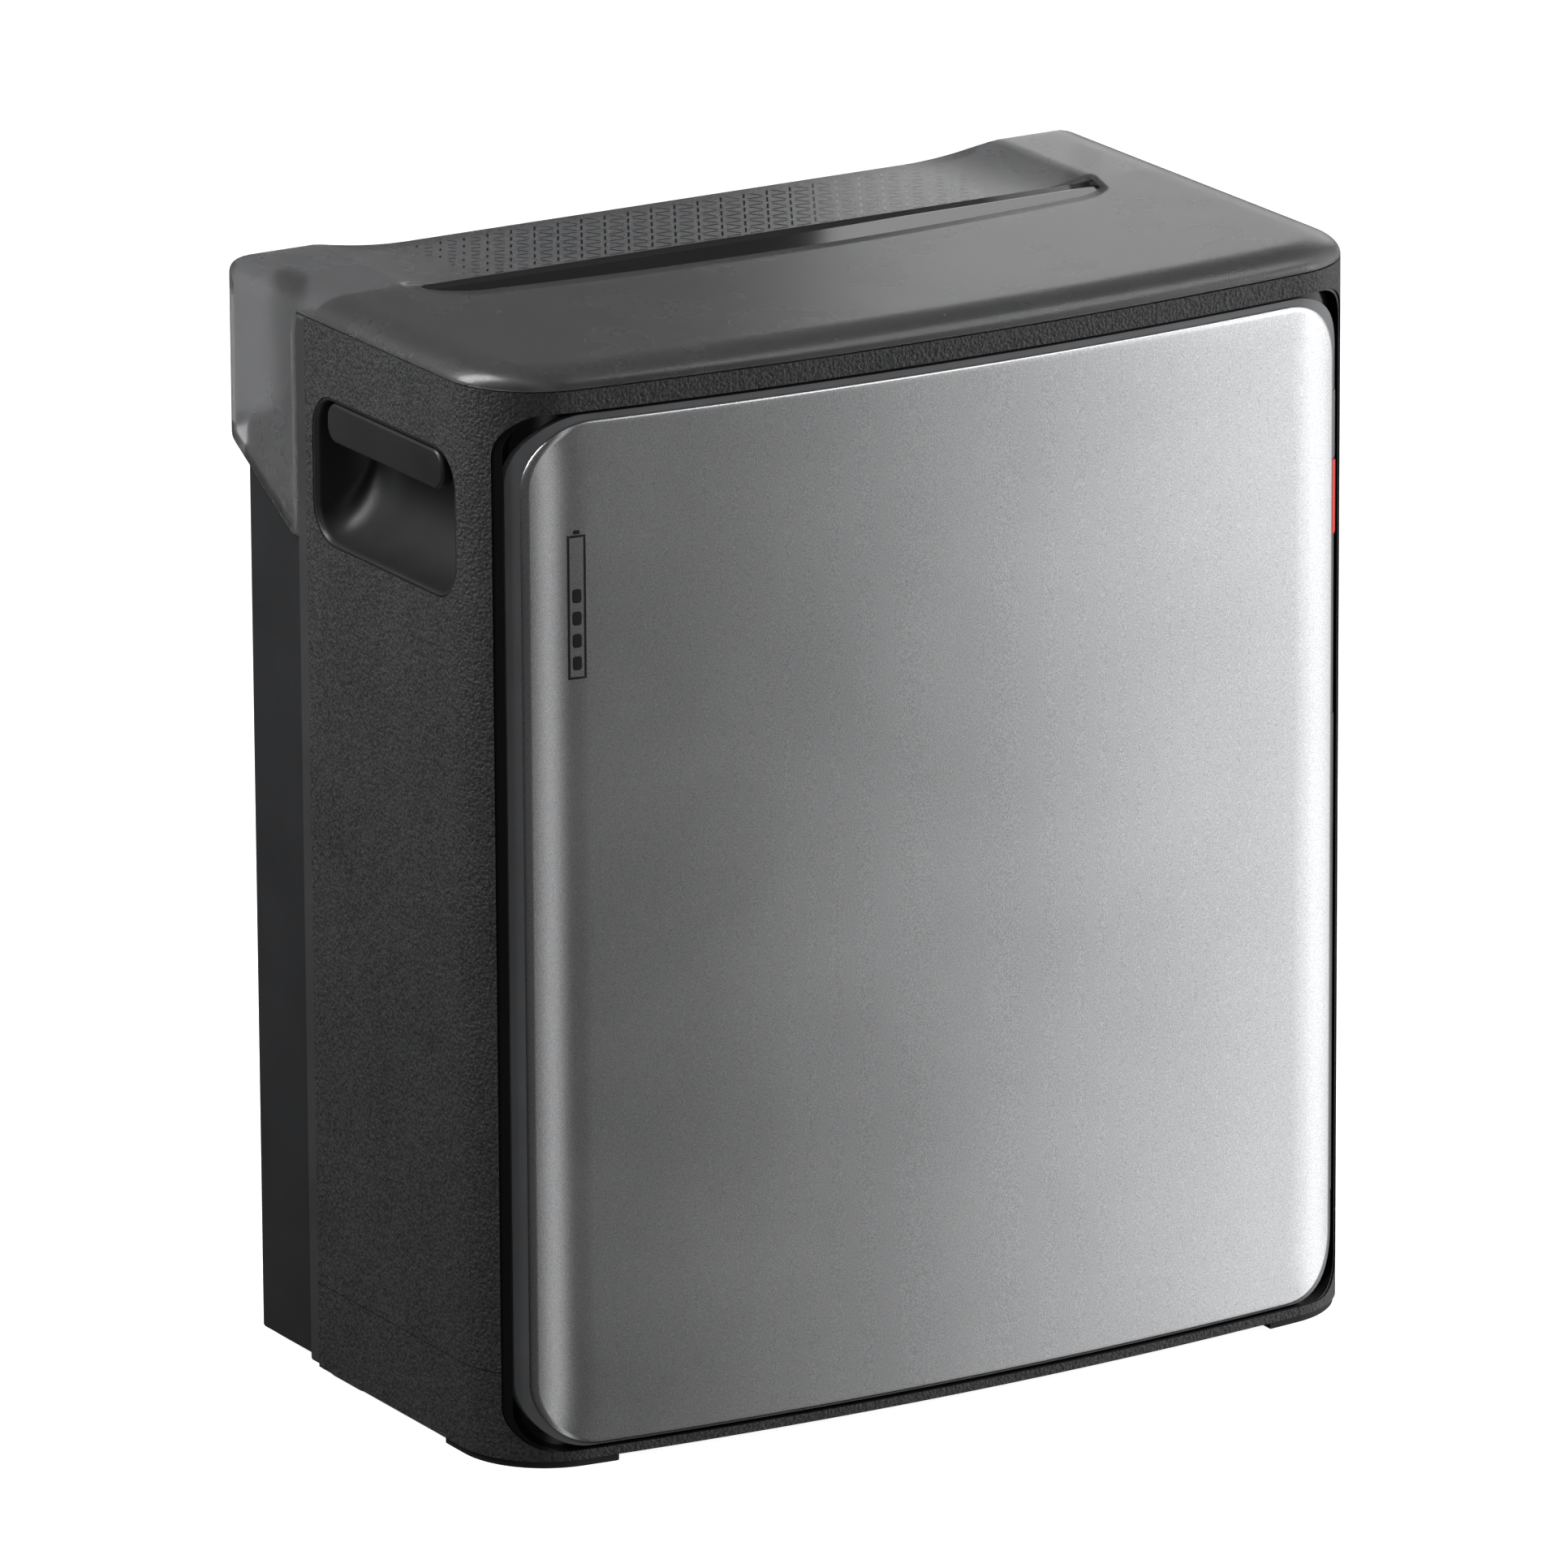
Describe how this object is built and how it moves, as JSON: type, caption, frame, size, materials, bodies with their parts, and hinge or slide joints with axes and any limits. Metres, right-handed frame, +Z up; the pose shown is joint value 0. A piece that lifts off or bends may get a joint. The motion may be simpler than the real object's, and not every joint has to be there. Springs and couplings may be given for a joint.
{
  "type": "wall battery unit",
  "caption": "Floor-standing home storage battery cabinet with a bowed metal front panel, side carrying recesses, cast rear casing and a lift-off smoke cover.",
  "frame": {"origin": "on the floor, in the middle of the footprint between the front of the bowed panel and the wall", "axes": "+X to the right seen from the front, +Y towards the wall, +Z up"},
  "size_m": [0.64, 0.37, 0.711],
  "materials": {
    "charcoal_plastic": "fine moulded texture",
    "black_plastic": "smooth satin",
    "grey_plastic": "satin",
    "silver_panel": "bead-blasted metallic",
    "smoke_cover": "frosted smoke tint",
    "cast_casing": "satin powder coat",
    "satin_metal": "satin powder coat",
    "steel_fasteners": "zinc plated",
    "brass_fittings": "plain",
    "red_plastic": "smooth",
    "light_lens": "ribbed diffuser",
    "circuit_board": "solder mask",
    "foot_rubber": "matt",
    "seal_rubber": "closed-cell foam",
    "cell_case": "film-wrapped case",
    "copper": "bare copper strip",
    "inductor_core": "coated core"
  },
  "bodies": {
    "cabinet": {"main_housing": "charcoal_plastic", "base_cap": "charcoal_plastic", "foot_front_left": "foot_rubber", "foot_front_right": "foot_rubber", "foot_rear_left": "foot_rubber", "foot_rear_right": "foot_rubber", "panel_bezel": "black_plastic", "panel_frame": "grey_plastic", "front_panel": "silver_panel", "light_bar": "light_lens", "control_board": "circuit_board", "handle_cup_left": "charcoal_plastic", "handle_cup_right": "charcoal_plastic", "handle_grip_left": "charcoal_plastic", "handle_grip_right": "charcoal_plastic", "mid_frame": "satin_metal", "rear_casing": "cast_casing", "casing_gasket": "seal_rubber", "top_deck": "black_plastic", "cable_glands": "black_plastic", "pressure_vent": "black_plastic", "dc_connectors": "black_plastic", "comm_block": "grey_plastic", "earth_stud": "brass_fittings", "cover_guides": "black_plastic", "wall_bracket": "satin_metal", "hanger_rail": "satin_metal", "rail_screws": "steel_fasteners", "rear_bumpers": "foot_rubber", "cell_tray_lower": "black_plastic", "cell_tray_upper": "black_plastic", "busbars": "copper", "end_plates": "cell_case", "module_lid": "grey_plastic", "bms_board": "circuit_board", "main_fuse": "grey_plastic", "contactors": "black_plastic", "riser_busbars": "copper", "power_board": "circuit_board", "capacitor_bank": "cell_case", "inductors": "inductor_core", "cell_lower_1": "cell_case", "cell_lower_2": "cell_case", "cell_lower_3": "cell_case", "cell_lower_4": "cell_case", "cell_lower_5": "cell_case", "cell_lower_6": "cell_case", "cell_lower_7": "cell_case", "cell_lower_8": "cell_case", "cell_upper_1": "cell_case", "cell_upper_2": "cell_case", "cell_upper_3": "cell_case", "cell_upper_4": "cell_case", "cell_upper_5": "cell_case", "cell_upper_6": "cell_case", "cell_upper_7": "cell_case", "cell_upper_8": "cell_case"},
    "power_button": {"power_button": "grey_plastic"},
    "stop_button": {"stop_button": "red_plastic"},
    "top_cover": {"top_cover": "smoke_cover"}
  },
  "joints": [
    {"name": "power_press", "type": "slide", "parent": "cabinet", "child": "power_button", "axis": [-0.7071, 0.7071, 0], "range_m": [0, 0.0015], "stiffness_N_per_m": 700},
    {"name": "stop_press", "type": "slide", "parent": "cabinet", "child": "stop_button", "axis": [-0.7071, 0.7071, 0], "range_m": [0, 0.004], "stiffness_N_per_m": 500},
    {"name": "cover_lift", "type": "slide", "parent": "cabinet", "child": "top_cover", "axis": [0, 0, 1], "range_m": [0, 0.2]}
  ]
}
